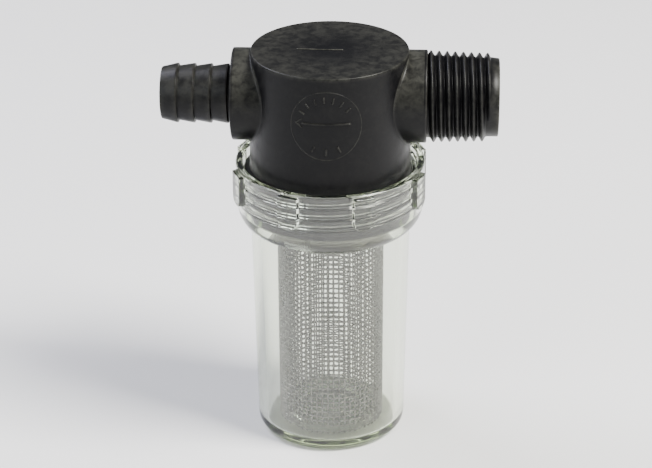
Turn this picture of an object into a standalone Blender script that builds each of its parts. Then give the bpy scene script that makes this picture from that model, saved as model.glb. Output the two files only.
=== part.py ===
"""In-line basket strainer: a moulded tee head with a hose barb and a taper pipe thread,
and a clear bowl that unscrews from it with a woven wire screen inside.

Metres, +Z up. The origin is the middle of the bowl's bottom face, +X points to the
threaded inlet and -Y to the side with the flow mark.
Run: blender --background --python part.py
"""

import math

import bmesh
import bpy
from mathutils import Matrix

MM = 0.001

# Clearance between pieces that touch on the real object
FIT = 0.3 * MM

# Bowl, up from its foot
BOWL_HEIGHT = 68.5 * MM
BOWL_FLOOR = 2.2 * MM
BOWL_WALL = 2.2 * MM
BOWL_DRAFT = 0.017
BOWL_CORNER = 2.2 * MM
BOWL_INNER_CORNER = 0.8 * MM
LEDGE_DEPTH = 11.3 * MM
LEDGE_MARGIN = 0.25 * MM
COLLAR_HEIGHT = 8.1 * MM
COLLAR_WALL = 1.6 * MM
COLLAR_STEP = 0.12 * MM
SHOULDER_START = 10.0 * MM
SHOULDER_HEIGHT = 5.3 * MM
SHOULDER_TUCK = 0.5 * MM
RIM_EDGE = 0.5 * MM
RIB_COUNT = 8
RIB_WIDTH = 5.4 * MM
RIB_PROUD = 1.1 * MM
RIB_CORNER = 2.2 * MM
RIB_SETBACK = 0.3 * MM
RIB_DROP = 0.4 * MM
BOSS_WALL = 4.0 * MM
BOSS_HEIGHT = 2.8 * MM

# Thread between head and bowl
BOWL_THREAD_PITCH = 2.7 * MM
BOWL_THREAD_HEIGHT = 1.3 * MM
BOWL_THREAD_FLANK = 0.5 * MM
BOWL_THREAD_PLAY = 0.35 * MM
THREAD_LEAD = 1.8 * MM
THREAD_TOP_GAP = 1.4 * MM
THREAD_START_AZIMUTH = 180.0

# Head shell
HEAD_RISE = 26.7 * MM
SKIRT_RADIUS = 18.45 * MM
SKIRT_WALL = 2.0 * MM
HEAD_DRAFT = 0.022
HEAD_EDGE = 0.4 * MM
HEAD_WALL = 2.65 * MM
GASKET_THICKNESS = 1.3 * MM
GASKET_EDGE = 0.3 * MM

# Port collars, alike on both sides
PORT_DROP = 11.1 * MM
PORT_REACH = 38.1 * MM
COLLAR_RADIUS = 10.5 * MM
COLLAR_REACH = 22.0 * MM
COLLAR_EDGE = 0.5 * MM

# Hose barb outlet, on the left
BARB_COUNT = 4
BARB_GAP = 1.1 * MM
BARB_LEAD_IN = 3.6 * MM
BARB_ROOT_RADIUS = 6.2 * MM
BARB_HEIGHT = 0.55 * MM
BARB_TIP_RADIUS = 5.9 * MM
BARB_STEP = 0.8 * MM
BARB_WALL = 1.45 * MM

# Taper pipe thread inlet, 1/2 in size, on the right
PIPE_PITCH = 25.4 / 14.0 * MM
PIPE_TAPER = 1.0 / 32.0
PIPE_END_CREST = 9.95 * MM
PIPE_THREAD_HEIGHT = 1.1 * MM
PIPE_THREAD_BASE = 1.5 * MM
PIPE_THREAD_CREST = 0.4 * MM
PIPE_THREAD_INSET = 0.1 * MM
PIPE_END_LENGTH = 2.0 * MM
PIPE_END_CHAMFER = 0.5 * MM
PIPE_WALL = 1.85 * MM

# Passages inside the head
CEILING_DROP = 0.4 * MM
SPIGOT_WALL = 2.3 * MM
WELL_RISE = 0.75 * MM
POCKET_WALL = 2.7 * MM
POCKET_HALF_WIDTH = 11.5 * MM
POCKET_ROOF_DROP = 0.3 * MM
SPIGOT_LENGTH_IN_SCREEN = 7.6 * MM

# Screen
SCREEN_RADIUS = 12.45 * MM
SCREEN_CLOTH = 0.75 * MM
SCREEN_RISE = 1.4 * MM
SEAM_AZIMUTH = -140.0
SEAM_HALF_WIDTH = 1.6 * MM
SEAM_STEP = 0.6 * MM
RING_WALL = 0.35 * MM
RING_SKIRT = 7.8 * MM

# Heights worked out from the sizes above
LEDGE = BOWL_HEIGHT - LEDGE_DEPTH
HEAD_TOP = BOWL_HEIGHT + HEAD_RISE
PORT_AXIS = HEAD_TOP - PORT_DROP
GASKET_BOTTOM = LEDGE + FIT
GASKET_TOP = GASKET_BOTTOM + GASKET_THICKNESS
HEAD_LOWER_END = GASKET_TOP + FIT
COLLAR_LOWER_EDGE = BOWL_HEIGHT - COLLAR_HEIGHT
SHOULDER_TOP = BOWL_HEIGHT - SHOULDER_START
HEAD_THREAD_START = HEAD_LOWER_END + THREAD_LEAD
HEAD_THREAD_END = BOWL_HEIGHT - THREAD_TOP_GAP
BOWL_THREAD_START = HEAD_THREAD_START - 0.5 * BOWL_THREAD_PITCH
BOWL_THREAD_END = BOWL_HEIGHT - THREAD_TOP_GAP
SCREEN_BOTTOM = BOWL_FLOOR + FIT
SCREEN_TOP = LEDGE + SCREEN_RISE
RING_TOP = SCREEN_TOP + FIT + RING_WALL
SCREEN_STOP = RING_TOP + FIT
SPIGOT_END = SCREEN_STOP - SPIGOT_LENGTH_IN_SCREEN
CHAMBER_CEILING = PORT_AXIS - COLLAR_RADIUS - CEILING_DROP

# Radii worked out from the sizes above
THREAD_CORE = SKIRT_RADIUS + 0.05 * MM
THREAD_CREST = THREAD_CORE + BOWL_THREAD_HEIGHT
HEAD_TOP_RADIUS = SKIRT_RADIUS - HEAD_DRAFT * HEAD_RISE
SKIRT_INNER = THREAD_CORE - SKIRT_WALL
BOWL_BORE = THREAD_CREST + FIT
BOWL_THREAD_MINOR = BOWL_BORE - BOWL_THREAD_HEIGHT
COLLAR_OUTER_RADIUS = BOWL_BORE + COLLAR_WALL
BOWL_INNER_TOP = SKIRT_INNER - LEDGE_MARGIN
BOWL_RADIUS_TOP = BOWL_INNER_TOP + BOWL_WALL
BOWL_RADIUS_BOTTOM = BOWL_RADIUS_TOP - BOWL_DRAFT * (LEDGE - BOWL_FLOOR)
GASKET_OUTER = BOWL_THREAD_MINOR - FIT
GASKET_INNER = SKIRT_INNER
SCREEN_INNER = SCREEN_RADIUS - SCREEN_CLOTH
SEAM_INNER = SCREEN_INNER - SEAM_STEP
SPIGOT_RADIUS = SEAM_INNER - FIT
BOSS_RADIUS = SEAM_INNER - FIT
RING_INNER = SCREEN_RADIUS + FIT
RING_OUTER = RING_INNER + RING_WALL
STOP_RADIUS = RING_OUTER - RING_WALL
OUTLET_WELL_RADIUS = SPIGOT_RADIUS - SPIGOT_WALL
POCKET_INNER_RADIUS = OUTLET_WELL_RADIUS + POCKET_WALL
POCKET_OUTER_RADIUS = HEAD_TOP_RADIUS - HEAD_WALL

# Ports worked out from the sizes above
OUTLET_BORE = BARB_ROOT_RADIUS - BARB_WALL
OUTLET_WELL_TOP = PORT_AXIS + OUTLET_BORE + WELL_RISE
BARB_FIRST_CREST = COLLAR_REACH + BARB_GAP
BARB_SPACING = (PORT_REACH - BARB_LEAD_IN - BARB_FIRST_CREST) / (BARB_COUNT - 1)
PIPE_END_CORE = PIPE_END_CREST - PIPE_THREAD_HEIGHT
PIPE_THREAD_START = COLLAR_REACH - PIPE_THREAD_INSET
PIPE_THREAD_END = PORT_REACH - PIPE_END_LENGTH
INLET_BORE = PIPE_END_CORE - PIPE_WALL
INLET_POCKET_TOP = PORT_AXIS + INLET_BORE - POCKET_ROOF_DROP

# Segments round each turned piece
BODY_STEPS = 48
PORT_STEPS = 32
ARC_STEPS = 4
BURY = 0.25 * MM
OVERSHOOT = 3.0 * MM


def clear_scene():
    for old in list(bpy.data.objects):
        bpy.data.objects.remove(old, do_unlink=True)


def new_collection(name, is_helper):
    group = bpy.data.collections.new(name)
    bpy.context.scene.collection.children.link(group)
    group.hide_render = is_helper
    return group


def plain_material(name, color, roughness, metallic=0.0, transmission=0.0):
    material = bpy.data.materials.new(name)
    material.use_nodes = True
    shader = material.node_tree.nodes["Principled BSDF"]
    shader.inputs["Base Color"].default_value = (*color, 1.0)
    shader.inputs["Roughness"].default_value = roughness
    shader.inputs["Metallic"].default_value = metallic
    shader.inputs["Transmission Weight"].default_value = transmission
    material.diffuse_color = (*color, 1.0)
    return material


def black_plastic():
    return plain_material("black_plastic", (0.012, 0.012, 0.014), 0.42)


def clear_plastic():
    return plain_material("clear_plastic", (0.85, 0.90, 0.86), 0.05, transmission=1.0)


def black_rubber():
    return plain_material("black_rubber", (0.010, 0.010, 0.011), 0.65)


def stainless_steel():
    return plain_material("stainless_steel", (0.62, 0.61, 0.58), 0.28, metallic=1.0)


def add_piece(name, mesh, group, material=None):
    piece = bpy.data.objects.new(name, mesh)
    group.objects.link(piece)
    if material:
        mesh.materials.append(material)
    return piece


def hide_helper(helper):
    helper.hide_render = True
    helper.display_type = "WIRE"
    return helper


def arc(center, radius, start, end, steps=ARC_STEPS):
    """Points of an arc in the profile plane, from one angle in degrees to another."""
    angles = [math.radians(start + (end - start) * i / steps) for i in range(steps + 1)]
    rise = radius if isinstance(radius, float) else radius[1]
    run = radius if isinstance(radius, float) else radius[0]
    return [(center[0] + run * math.cos(a), center[1] + rise * math.sin(a)) for a in angles]


def turned(name, profile, group, steps, closed, material=None):
    """A profile of (radius, height) points turned about Z, going down its outer side."""
    mesh = bpy.data.meshes.new(name)
    edges = [(i, i + 1) for i in range(len(profile) - 1)]
    if closed:
        edges.append((len(profile) - 1, 0))
    mesh.from_pydata([(r, 0.0, z) for r, z in profile], edges, [])
    piece = add_piece(name, mesh, group, material)
    screw = piece.modifiers.new("Turn", "SCREW")
    screw.steps = steps
    screw.render_steps = steps
    screw.use_merge_vertices = True
    screw.merge_threshold = 0.00001
    screw.use_smooth_shade = True
    return piece


def combine(target, tool, operation):
    """A live exact Boolean with one helper, or with a collection of them at once."""
    boolean = target.modifiers.new(tool.name, "BOOLEAN")
    boolean.operation = operation
    boolean.solver = "EXACT"
    if isinstance(tool, bpy.types.Collection):
        boolean.operand_type = "COLLECTION"
        boolean.collection = tool
    else:
        boolean.object = tool


def turn_about_z(mesh_in_edit, vertices, angle):
    turn = Matrix.Rotation(angle, 3, "Z")
    bmesh.ops.rotate(mesh_in_edit, cent=(0.0, 0.0, 0.0), matrix=turn, verts=vertices)


def fade_thread_ends(mesh_in_edit, buried, height_at, pitch, turns, fade_turns):
    """Sinks the first and last part of a ridge into the core that carries it."""
    for vertex in mesh_in_edit.verts:
        angle = math.atan2(vertex.co.y, vertex.co.x) / math.tau
        turn = angle + round((vertex.co.z - height_at) / pitch - angle)
        share = min(1.0, max(turn, 0.0) / fade_turns, max(turns - turn, 0.0) / fade_turns)
        radius = math.hypot(vertex.co.x, vertex.co.y)
        wanted = buried + (radius - buried) * (0.15 + 0.85 * share)
        vertex.co.x *= wanted / radius
        vertex.co.y *= wanted / radius


def thread_ridge(name, group, radii, widths, pitch, ends, steps, taper=0.0, azimuth=0.0):
    """A right-hand helical ridge, closed at both ends, whose foot is buried in its core.

    radii are the core's and the crest's, so a nut's ridge has the smaller crest. widths
    are the ridge's at the same two places, and ends the heights of its middle line.
    taper is the loss of radius for each unit of height. azimuth is where it starts, in
    degrees.
    """
    core, crest = radii
    start, end = ends
    outward = math.copysign(1.0, crest - core)
    slope = 0.5 * (widths[0] - widths[1]) / abs(crest - core)
    buried = core - outward * BURY
    half_foot = 0.5 * widths[0] + slope * BURY
    half_crest = 0.5 * widths[1]
    section = [
        (buried, -half_foot),
        (crest, -half_crest),
        (crest, half_crest),
        (buried, half_foot),
    ]
    ridge = bmesh.new()
    corners = [ridge.verts.new((r, 0.0, start + z)) for r, z in section]
    face = ridge.faces.new(corners)
    count = round((end - start) / pitch * steps)
    bmesh.ops.spin(
        ridge,
        geom=corners + list(face.edges) + [face],
        cent=(0.0, 0.0, 0.0),
        axis=(0.0, 0.0, 1.0),
        dvec=(0.0, 0.0, pitch / steps),
        angle=math.tau * count / steps,
        steps=count,
    )
    fade_thread_ends(ridge, buried, start, pitch, count / steps, 4.0 / steps)
    for vertex in ridge.verts:
        radius = math.hypot(vertex.co.x, vertex.co.y)
        shrink = 1.0 - taper * (vertex.co.z - start) / radius
        vertex.co.x *= shrink
        vertex.co.y *= shrink
    # Half a step round, so that the ridge's corners don't meet the edges of its core.
    turn_about_z(ridge, list(ridge.verts), math.radians(azimuth) + math.pi / steps)
    bmesh.ops.recalc_face_normals(ridge, faces=ridge.faces)
    mesh = bpy.data.meshes.new(name)
    ridge.to_mesh(mesh)
    ridge.free()
    return hide_helper(add_piece(name, mesh, group))


def head_body(group):
    """The closed cup of the head, with its screen spigot, as one turned solid."""
    profile = [(0.0, HEAD_TOP)]
    edge_center = (HEAD_TOP_RADIUS - HEAD_EDGE, HEAD_TOP - HEAD_EDGE)
    profile += arc(edge_center, HEAD_EDGE, 90.0, 0.0)
    profile += [
        (SKIRT_RADIUS, BOWL_HEIGHT - HEAD_EDGE),
        (THREAD_CORE, BOWL_HEIGHT - 2.0 * HEAD_EDGE),
        (THREAD_CORE, HEAD_LOWER_END + 0.5 * HEAD_EDGE),
        (THREAD_CORE - 0.5 * HEAD_EDGE, HEAD_LOWER_END),
        (SKIRT_INNER, HEAD_LOWER_END),
        (SKIRT_INNER, CHAMBER_CEILING),
        (STOP_RADIUS, CHAMBER_CEILING),
        (STOP_RADIUS, SCREEN_STOP),
        (SPIGOT_RADIUS, SCREEN_STOP),
        (SPIGOT_RADIUS, SPIGOT_END + 0.5 * HEAD_EDGE),
        (SPIGOT_RADIUS - 0.5 * HEAD_EDGE, SPIGOT_END),
        (OUTLET_WELL_RADIUS, SPIGOT_END),
        (OUTLET_WELL_RADIUS, OUTLET_WELL_TOP),
        (0.0, OUTLET_WELL_TOP),
    ]
    return turned("head", profile, group, BODY_STEPS, False, black_plastic())


def port(name, profile, group, side):
    """A turned helper laid along X, its profile's heights measured out from the head's axis."""
    piece = hide_helper(turned(name, profile, group, PORT_STEPS, False))
    piece.location = (0.0, 0.0, PORT_AXIS)
    piece.rotation_euler = (0.0, side * math.pi / 2.0, 0.0)
    return piece


def port_collar():
    """The end of the profile that both ports share: the wide collar, then the buried foot."""
    buried_foot = POCKET_OUTER_RADIUS + 0.5 * MM
    return [
        (COLLAR_RADIUS - COLLAR_EDGE, COLLAR_REACH),
        (COLLAR_RADIUS, COLLAR_REACH - COLLAR_EDGE),
        (COLLAR_RADIUS, buried_foot),
        (0.0, buried_foot),
    ]


def outlet_barb(group):
    profile = [(0.0, PORT_REACH), (BARB_TIP_RADIUS, PORT_REACH)]
    for i in reversed(range(BARB_COUNT)):
        crest = BARB_FIRST_CREST + i * BARB_SPACING
        profile += [
            (BARB_ROOT_RADIUS + BARB_HEIGHT, crest + 0.25 * BARB_STEP),
            (BARB_ROOT_RADIUS + BARB_HEIGHT, crest - 0.5 * BARB_STEP),
            (BARB_ROOT_RADIUS, crest - BARB_STEP),
        ]
    profile.append((BARB_ROOT_RADIUS, COLLAR_REACH))
    return port("outlet_barb", profile + port_collar(), group, -1.0)


def inlet_pipe(group):
    profile = [
        (0.0, PORT_REACH),
        (PIPE_END_CORE - PIPE_END_CHAMFER, PORT_REACH),
        (PIPE_END_CORE, PORT_REACH - PIPE_END_CHAMFER),
        (PIPE_END_CORE, PIPE_THREAD_END),
        (PIPE_END_CORE + (PIPE_THREAD_END - COLLAR_REACH) * PIPE_TAPER, COLLAR_REACH),
    ]
    return port("inlet_pipe", profile + port_collar(), group, 1.0)


def pipe_thread(group):
    crest = PIPE_END_CREST + (PIPE_THREAD_END - PIPE_THREAD_START) * PIPE_TAPER
    ridge = thread_ridge(
        "pipe_thread",
        group,
        (crest - PIPE_THREAD_HEIGHT, crest),
        (PIPE_THREAD_BASE, PIPE_THREAD_CREST),
        PIPE_PITCH,
        (PIPE_THREAD_START, PIPE_THREAD_END),
        PORT_STEPS,
        PIPE_TAPER,
    )
    ridge.location = (0.0, 0.0, PORT_AXIS)
    ridge.rotation_euler = (0.0, math.pi / 2.0, 0.0)
    return ridge


def bowl_thread_widths():
    """The widths that leave the named play between a ridge and the groove it runs in."""
    mean = 0.5 * BOWL_THREAD_PITCH - BOWL_THREAD_PLAY
    return (mean + BOWL_THREAD_FLANK, mean - BOWL_THREAD_FLANK)


def head_thread(group):
    return thread_ridge(
        "head_thread",
        group,
        (THREAD_CORE, THREAD_CREST),
        bowl_thread_widths(),
        BOWL_THREAD_PITCH,
        (HEAD_THREAD_START, HEAD_THREAD_END),
        BODY_STEPS,
        azimuth=THREAD_START_AZIMUTH,
    )


def bore(name, radius, start, end, group, side):
    """A straight hole along X, from one distance to another out from the head's axis."""
    profile = [(0.0, end), (radius, end), (radius, start), (0.0, start)]
    return port(name, profile, group, side)


def inlet_pocket(group, helpers):
    """The part of a ring on the inlet side that leads down to the chamber round the screen."""
    low = CHAMBER_CEILING - OVERSHOOT
    profile = [
        (POCKET_OUTER_RADIUS, INLET_POCKET_TOP),
        (POCKET_OUTER_RADIUS, low),
        (POCKET_INNER_RADIUS, low),
        (POCKET_INNER_RADIUS, INLET_POCKET_TOP),
    ]
    ring = hide_helper(turned("inlet_pocket", profile, group, BODY_STEPS, True))
    block_mesh = bpy.data.meshes.new("pocket_limit")
    block = bmesh.new()
    bmesh.ops.create_cube(block, size=1.0)
    block.to_mesh(block_mesh)
    block.free()
    limit = hide_helper(add_piece("pocket_limit", block_mesh, helpers))
    depth = 2.0 * POCKET_OUTER_RADIUS
    limit.scale = (depth, 2.0 * POCKET_HALF_WIDTH, 2.0 * HEAD_TOP)
    limit.location = (0.5 * depth, 0.0, PORT_AXIS)
    combine(ring, limit, "INTERSECT")
    return ring


def build_head(group, helpers):
    head = head_body(group)
    added = new_collection("head_additions", True)
    for build_addition in (outlet_barb, inlet_pipe, pipe_thread, head_thread):
        build_addition(added)
    passages = new_collection("head_passages", True)
    inlet_start = 0.5 * (POCKET_INNER_RADIUS + POCKET_OUTER_RADIUS)
    end = PORT_REACH + OVERSHOOT
    bore("outlet_bore", OUTLET_BORE, 0.5 * OUTLET_WELL_RADIUS, end, passages, -1.0)
    bore("inlet_bore", INLET_BORE, inlet_start, end, passages, 1.0)
    inlet_pocket(passages, helpers)
    combine(head, added, "UNION")
    combine(head, passages, "DIFFERENCE")
    return head


def bowl_outside():
    """The outside of the bowl from rim to foot: collar, round shoulder, drafted wall."""
    shoulder = COLLAR_OUTER_RADIUS - COLLAR_STEP
    reach = shoulder - BOWL_RADIUS_TOP + SHOULDER_TUCK
    center = (shoulder - reach, SHOULDER_TOP)
    meets_wall = -math.degrees(math.acos(SHOULDER_TUCK / reach))
    rim = (COLLAR_OUTER_RADIUS - RIM_EDGE, BOWL_HEIGHT - RIM_EDGE)
    foot = (BOWL_RADIUS_BOTTOM - BOWL_CORNER, BOWL_CORNER)
    profile = arc(rim, RIM_EDGE, 90.0, 0.0, 2)
    profile += [
        (COLLAR_OUTER_RADIUS, COLLAR_LOWER_EDGE),
        (shoulder, COLLAR_LOWER_EDGE - COLLAR_STEP),
    ]
    profile += arc(center, (reach, SHOULDER_HEIGHT), 0.0, meets_wall, 2 * ARC_STEPS)
    profile += arc(foot, BOWL_CORNER, 0.0, -90.0)
    return profile


def bowl_inside():
    """The inside of the bowl from the middle of its floor up to the rim."""
    inner_bottom = BOWL_RADIUS_BOTTOM - BOWL_WALL
    corner = (inner_bottom - BOWL_INNER_CORNER, BOWL_FLOOR + BOWL_INNER_CORNER)
    boss_top = BOWL_FLOOR + BOSS_HEIGHT
    profile = [
        (0.0, BOWL_FLOOR),
        (BOSS_RADIUS - BOSS_WALL, BOWL_FLOOR),
        (BOSS_RADIUS - BOSS_WALL, boss_top),
        (BOSS_RADIUS - FIT, boss_top),
        (BOSS_RADIUS, boss_top - FIT),
        (BOSS_RADIUS, BOWL_FLOOR),
    ]
    profile += arc(corner, BOWL_INNER_CORNER, -90.0, 0.0, 2)
    profile += [
        (BOWL_INNER_TOP, LEDGE),
        (BOWL_BORE, LEDGE),
        (BOWL_BORE, BOWL_HEIGHT - RIM_EDGE),
        (BOWL_BORE + RIM_EDGE, BOWL_HEIGHT),
    ]
    return profile


def bowl_ribs(group):
    """Eight grip ribs round the collar, rounded at their lower corners."""
    inner = BOWL_BORE + 0.5 * (COLLAR_OUTER_RADIUS - BOWL_BORE)
    outer = COLLAR_OUTER_RADIUS + RIB_PROUD
    top = BOWL_HEIGHT - RIB_SETBACK
    height = top - (COLLAR_LOWER_EDGE - RIB_DROP)
    ribs = bmesh.new()
    for i in range(RIB_COUNT):
        made = bmesh.ops.create_cube(ribs, size=1.0)["verts"]
        bmesh.ops.scale(ribs, verts=made, vec=(outer - inner, RIB_WIDTH, height))
        middle = (0.5 * (outer + inner), 0.0, top - 0.5 * height)
        bmesh.ops.translate(ribs, verts=made, vec=middle)
        low = [v for v in made if v.co.z < middle[2]]
        feet = [e for e in ribs.edges if all(v in low for v in e.verts) and is_radial(e)]
        rounded = bmesh.ops.bevel(
            ribs, geom=feet, offset=RIB_CORNER, segments=3, profile=0.5, affect="EDGES"
        )
        made = {v for v in made if v.is_valid} | set(rounded["verts"])
        turn_about_z(ribs, list(made), math.tau * (i + 0.5) / RIB_COUNT)
    bmesh.ops.recalc_face_normals(ribs, faces=ribs.faces)
    mesh = bpy.data.meshes.new("bowl_ribs")
    ribs.to_mesh(mesh)
    ribs.free()
    return hide_helper(add_piece("bowl_ribs", mesh, group))


def is_radial(edge):
    first, second = (v.co for v in edge.verts)
    return abs(first.y - second.y) < FIT and abs(first.z - second.z) < FIT


def bowl_thread(group):
    """The nut thread, half a pitch from the head's so that the ridges interlock."""
    return thread_ridge(
        "bowl_thread",
        group,
        (BOWL_BORE, BOWL_THREAD_MINOR),
        bowl_thread_widths(),
        BOWL_THREAD_PITCH,
        (BOWL_THREAD_START, BOWL_THREAD_END),
        BODY_STEPS,
        azimuth=THREAD_START_AZIMUTH,
    )


def build_bowl(group, helpers):
    profile = bowl_inside() + bowl_outside() + [(0.0, 0.0)]
    bowl = turned("bowl", profile, group, BODY_STEPS, False, clear_plastic())
    combine(bowl, bowl_ribs(helpers), "UNION")
    combine(bowl, bowl_thread(helpers), "UNION")
    return bowl


def build_gasket(group):
    profile = [
        (GASKET_OUTER - GASKET_EDGE, GASKET_TOP),
        (GASKET_OUTER, GASKET_TOP - GASKET_EDGE),
        (GASKET_OUTER, GASKET_BOTTOM + GASKET_EDGE),
        (GASKET_OUTER - GASKET_EDGE, GASKET_BOTTOM),
        (GASKET_INNER, GASKET_BOTTOM),
        (GASKET_INNER, GASKET_TOP),
    ]
    return turned("bowl_gasket", profile, group, BODY_STEPS, True, black_rubber())


def build_screen(group):
    """The rolled screen as a thin tube, thicker on its inside along the lapped seam."""
    profile = [
        (SCREEN_RADIUS, SCREEN_TOP),
        (SCREEN_RADIUS, SCREEN_BOTTOM),
        (SCREEN_INNER, SCREEN_BOTTOM),
        (SCREEN_INNER, SCREEN_TOP),
    ]
    return turned("screen_mesh", profile, group, BODY_STEPS, True, stainless_steel())


def screen_seam(group):
    """The strip along the seam where the rolled screen laps over itself."""
    strip = bmesh.new()
    bmesh.ops.create_cube(strip, size=1.0)
    mesh = bpy.data.meshes.new("screen_seam")
    strip.to_mesh(mesh)
    strip.free()
    seam = hide_helper(add_piece("screen_seam", mesh, group))
    depth = SEAM_STEP + 0.5 * SCREEN_CLOTH
    azimuth = math.radians(SEAM_AZIMUTH)
    radius = SEAM_INNER + 0.5 * depth
    seam.scale = (depth, 2.0 * SEAM_HALF_WIDTH, SCREEN_TOP - SCREEN_BOTTOM - FIT)
    seam.rotation_euler = (0.0, 0.0, azimuth)
    height = 0.5 * (SCREEN_TOP + SCREEN_BOTTOM)
    seam.location = (radius * math.cos(azimuth), radius * math.sin(azimuth), height)
    return seam


def build_top_ring(group):
    """The rolled metal ring that closes over the top edge of the screen."""
    lip_inner = RING_INNER - FIT - SCREEN_CLOTH
    profile = [
        (lip_inner, RING_TOP),
        (RING_OUTER - RING_WALL, RING_TOP),
        (RING_OUTER, RING_TOP - RING_WALL),
        (RING_OUTER, RING_TOP - RING_SKIRT),
        (RING_INNER, RING_TOP - RING_SKIRT),
        (RING_INNER, RING_TOP - RING_WALL),
        (lip_inner, RING_TOP - RING_WALL),
    ]
    return turned("screen_top_ring", profile, group, BODY_STEPS, True, stainless_steel())


def main():
    clear_scene()
    parts = new_collection("basket_strainer", False)
    helpers = new_collection("helpers", True)
    build_head(parts, helpers)
    build_bowl(parts, helpers)
    build_gasket(parts)
    screen = build_screen(parts)
    combine(screen, screen_seam(helpers), "UNION")
    build_top_ring(parts)


main()
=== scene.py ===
"""The finish of the in-line basket strainer: a moulded black tee head with a hose barb and
a taper pipe thread, a clear screwed bowl, its rubber ring, and a woven wire screen.

Metres, +Z up. The origin is the middle of the bowl's foot, +X points to the threaded
inlet and -Y to the side with the flow mark.
"""

import math

import bpy
import numpy as np
from mathutils import Matrix, Vector


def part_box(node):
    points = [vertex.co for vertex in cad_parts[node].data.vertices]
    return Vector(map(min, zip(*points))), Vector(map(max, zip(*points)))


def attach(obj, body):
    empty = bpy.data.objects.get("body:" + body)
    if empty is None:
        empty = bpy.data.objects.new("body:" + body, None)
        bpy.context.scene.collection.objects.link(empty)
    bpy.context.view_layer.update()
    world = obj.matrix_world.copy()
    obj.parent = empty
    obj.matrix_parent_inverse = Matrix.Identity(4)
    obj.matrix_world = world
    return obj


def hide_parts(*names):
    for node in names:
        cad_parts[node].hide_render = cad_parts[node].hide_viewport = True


bl_info = {
    "name": "Basket strainer",
    "version": (1, 0, 0),
    "blender": (4, 5, 0),
    "location": "3D View > Sidebar > Strainer",
    "description": "Builds the finished pieces of an in-line basket strainer on its frame",
    "category": "Object",
}

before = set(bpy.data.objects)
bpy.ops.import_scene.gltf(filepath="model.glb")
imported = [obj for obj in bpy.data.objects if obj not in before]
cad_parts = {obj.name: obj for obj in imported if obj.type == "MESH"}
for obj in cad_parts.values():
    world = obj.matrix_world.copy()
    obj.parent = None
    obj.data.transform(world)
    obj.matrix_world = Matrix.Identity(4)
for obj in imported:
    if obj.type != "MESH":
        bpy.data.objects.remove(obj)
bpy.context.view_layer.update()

MM = 0.001
FIT = 0.3 * MM

HEAD_LOW, HEAD_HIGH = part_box("head")
BOWL_LOW, BOWL_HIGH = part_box("bowl")
GASKET_LOW, GASKET_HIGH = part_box("bowl_gasket")
SCREEN_LOW, SCREEN_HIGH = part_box("screen_mesh")
RING_LOW, RING_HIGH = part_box("screen_top_ring")

# Head, from its top down
HEAD_TOP = HEAD_HIGH.z
HEAD_LOWER_END = GASKET_HIGH.z + FIT
SPIGOT_END = HEAD_LOW.z
PORT_AXIS = HEAD_TOP - 11.1 * MM
PORT_REACH = HEAD_HIGH.x
SKIRT_RADIUS = 18.45 * MM
HEAD_TOP_RADIUS = 17.86 * MM
HEAD_EDGE = 0.4 * MM
CHAMBER_CEILING = PORT_AXIS - 10.9 * MM
SPIGOT_RADIUS = 10.8 * MM
OUTLET_WELL_RADIUS = 8.5 * MM
OUTLET_WELL_TOP = PORT_AXIS + 5.5 * MM
SCREEN_STOP = RING_HIGH.z + FIT
SCREEN_STOP_WIDTH = 1.95 * MM
SINK_WIDTH = 9.0 * MM
HEAD_COLUMNS = 288

# Thread between head and bowl
THREAD_PITCH = 2.7 * MM
THREAD_HEIGHT = 1.3 * MM
THREAD_CORE = 18.5 * MM
THREAD_FOOT_WIDTH = 1.5 * MM
THREAD_CREST_WIDTH = 0.5 * MM
THREAD_FADE = 0.09
SKIRT_WALL = 2.0 * MM
THREAD_END = BOWL_HIGH.z - 1.4 * MM
HEAD_THREAD_START = HEAD_LOWER_END + 1.8 * MM
BOWL_THREAD_START = HEAD_THREAD_START - 0.5 * THREAD_PITCH
THREAD_AZIMUTH = math.pi

# Ports
COLLAR_RADIUS = 10.5 * MM
COLLAR_REACH = 22.0 * MM
COLLAR_EDGE = 0.5 * MM
PORT_ROOT = 12.5 * MM
RECESS_INNER = 8.7 * MM
RECESS_OUTER = 9.6 * MM
INLET_RECESS_FLOOR = 11.3 * MM
OUTLET_RECESS_FLOOR = -9.3 * MM
INLET_BORE = 7.0 * MM
OUTLET_BORE = 4.75 * MM
PIPE_PITCH = 25.4 / 14.0 * MM
PIPE_TAPER = 1.0 / 32.0
PIPE_END_CORE = 8.85 * MM
PIPE_THREAD_HEIGHT = 1.1 * MM
PIPE_THREAD_FOOT_WIDTH = 1.74 * MM
PIPE_THREAD_CREST_WIDTH = 0.16 * MM
PIPE_THREAD_FADE = 0.12
PIPE_THREAD_START = 21.9 * MM
PIPE_THREAD_END = PORT_REACH - 2.0 * MM
INLET_COLUMNS = 224
OUTLET_COLUMNS = 160
BARB_COUNT = 4
BARB_FIRST = 23.1 * MM
BARB_SPACING = 3.8 * MM
BARB_ROOT = 6.2 * MM
BARB_CREST = 6.75 * MM
BARB_TIP = 5.9 * MM
BARB_LAND = 0.16 * MM
BARB_DROP = 0.42 * MM

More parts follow.
